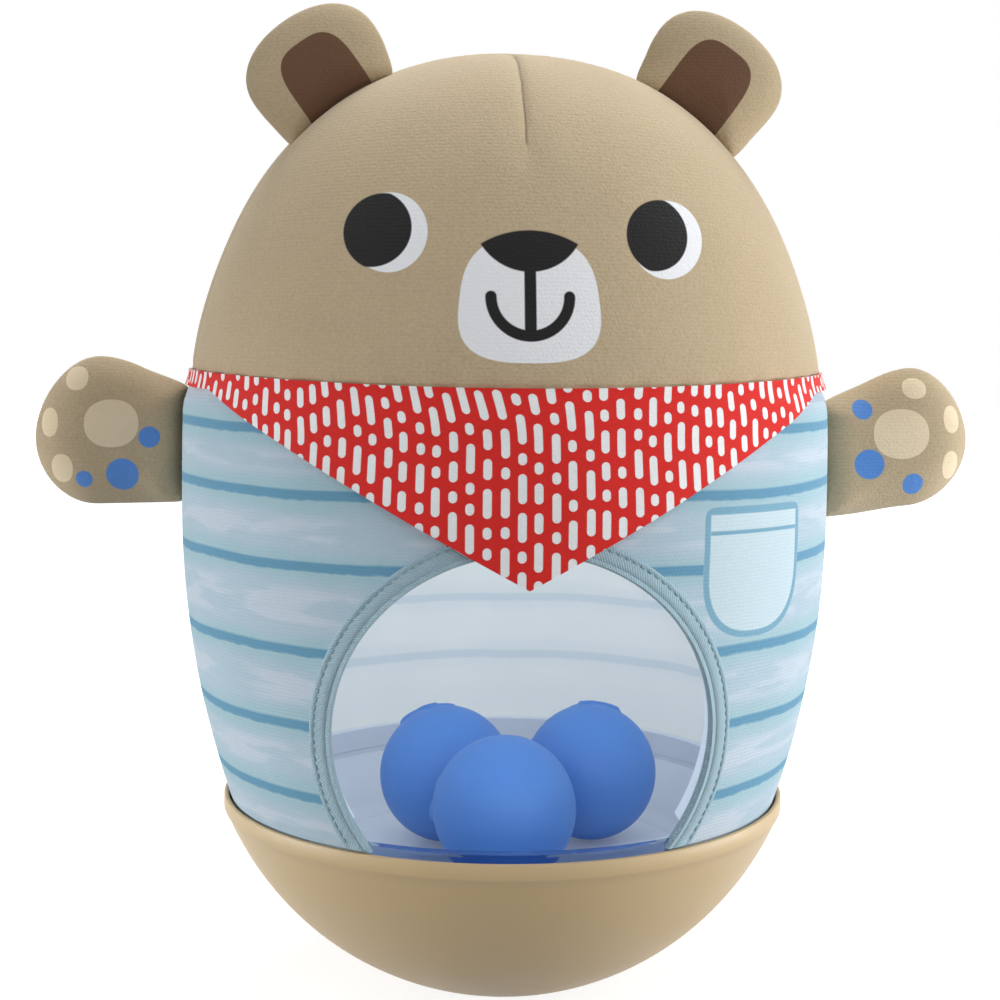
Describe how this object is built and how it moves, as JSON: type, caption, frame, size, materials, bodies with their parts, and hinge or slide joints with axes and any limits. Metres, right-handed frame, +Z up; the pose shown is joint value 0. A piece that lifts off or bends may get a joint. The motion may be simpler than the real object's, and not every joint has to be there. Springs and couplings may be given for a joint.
{
  "type": "roly poly toy",
  "caption": "Soft bear that rocks on a weighted ball-shaped base, with loose balls behind a round window, padded arms and ears, and a bandana.",
  "frame": {"origin": "middle of the small flat on the bottom of the bowl, where the toy rests", "axes": "+Z up, the bear looks along -Y, +X towards the bear's own left"},
  "size_m": [0.2276, 0.1565, 0.2325],
  "materials": {
    "tan_plastic": "fine-grained satin moulding",
    "cast_weight": "as cast",
    "white_plastic": "as moulded",
    "screw_steel": "zinc plated",
    "frosted_plastic": "frosted, lets light through",
    "clear_plastic": "clear, faint blue tint",
    "striped_knit": "fine knit printed with stripes",
    "binding_tape": "woven bias tape",
    "red_cotton": "woven cotton printed with white dashes",
    "tan_knit": "brushed fine knit",
    "batting": "fibre batting",
    "blue_plastic": "satin"
  },
  "bodies": {
    "body": {"rocker_bowl": "tan_plastic", "counterweight": "cast_weight", "weight_retainer": "white_plastic", "retainer_screw_1": "screw_steel", "retainer_screw_2": "screw_steel", "retainer_screw_3": "screw_steel", "tray_screw_1": "screw_steel", "tray_screw_2": "screw_steel", "tray_screw_3": "screw_steel", "ball_tray": "frosted_plastic", "hem_ring": "white_plastic", "barrel_front": "frosted_plastic", "barrel_back": "frosted_plastic", "window_panel": "clear_plastic", "torso_front_panel": "striped_knit", "torso_back_panel": "striped_knit", "window_binding": "binding_tape", "neck_plate": "white_plastic", "bandana_band": "red_cotton", "head_front_panel": "tan_knit", "head_back_panel": "tan_knit", "head_padding": "batting"},
    "bandana_tip": {"bandana_flap": "red_cotton"},
    "left_ear": {"ear_left": "tan_knit"},
    "right_ear": {"ear_right": "tan_knit"},
    "left_arm": {"arm_left": "tan_knit"},
    "right_arm": {"arm_right": "tan_knit"},
    "front_ball": {"ball_front": "blue_plastic"},
    "right_ball": {"ball_right": "blue_plastic"},
    "left_ball": {"ball_left": "blue_plastic"}
  },
  "joints": [
    {"name": "left_arm_swing", "type": "hinge", "parent": "body", "child": "left_arm", "pos_m": [0.07777, 0, 0.1286], "axis": [0, 0, 1], "range_deg": [-45, 45], "stiffness_Nm_per_rad": 0.02},
    {"name": "right_arm_swing", "type": "hinge", "parent": "body", "child": "right_arm", "pos_m": [-0.07777, 0, 0.1286], "axis": [0, 0, -1], "range_deg": [-45, 45], "stiffness_Nm_per_rad": 0.02},
    {"name": "left_ear_bend", "type": "hinge", "parent": "body", "child": "left_ear", "pos_m": [0.0414, -0.014, 0.20943], "axis": [0.8113, 0, -0.5846], "range_deg": [-20, 35], "stiffness_Nm_per_rad": 0.02},
    {"name": "right_ear_bend", "type": "hinge", "parent": "body", "child": "right_ear", "pos_m": [-0.0414, -0.014, 0.20943], "axis": [0.8113, 0, 0.5846], "range_deg": [-20, 35], "stiffness_Nm_per_rad": 0.02},
    {"name": "bandana_lift", "type": "hinge", "parent": "body", "child": "bandana_tip", "pos_m": [0, -0.079, 0.1285], "axis": [-1, 0, 0], "range_deg": [0, 60]},
    {"name": "front_ball_roll", "type": "slide", "parent": "body", "child": "front_ball", "axis": [0, -1, 0], "range_m": [-0.0005, 0.014]},
    {"name": "right_ball_roll", "type": "slide", "parent": "body", "child": "right_ball", "axis": [-0.7475, 0.6643, 0], "range_m": [-0.0005, 0.017]},
    {"name": "left_ball_roll", "type": "slide", "parent": "body", "child": "left_ball", "axis": [0.8866, 0.4625, 0], "range_m": [-0.0005, 0.01]}
  ]
}
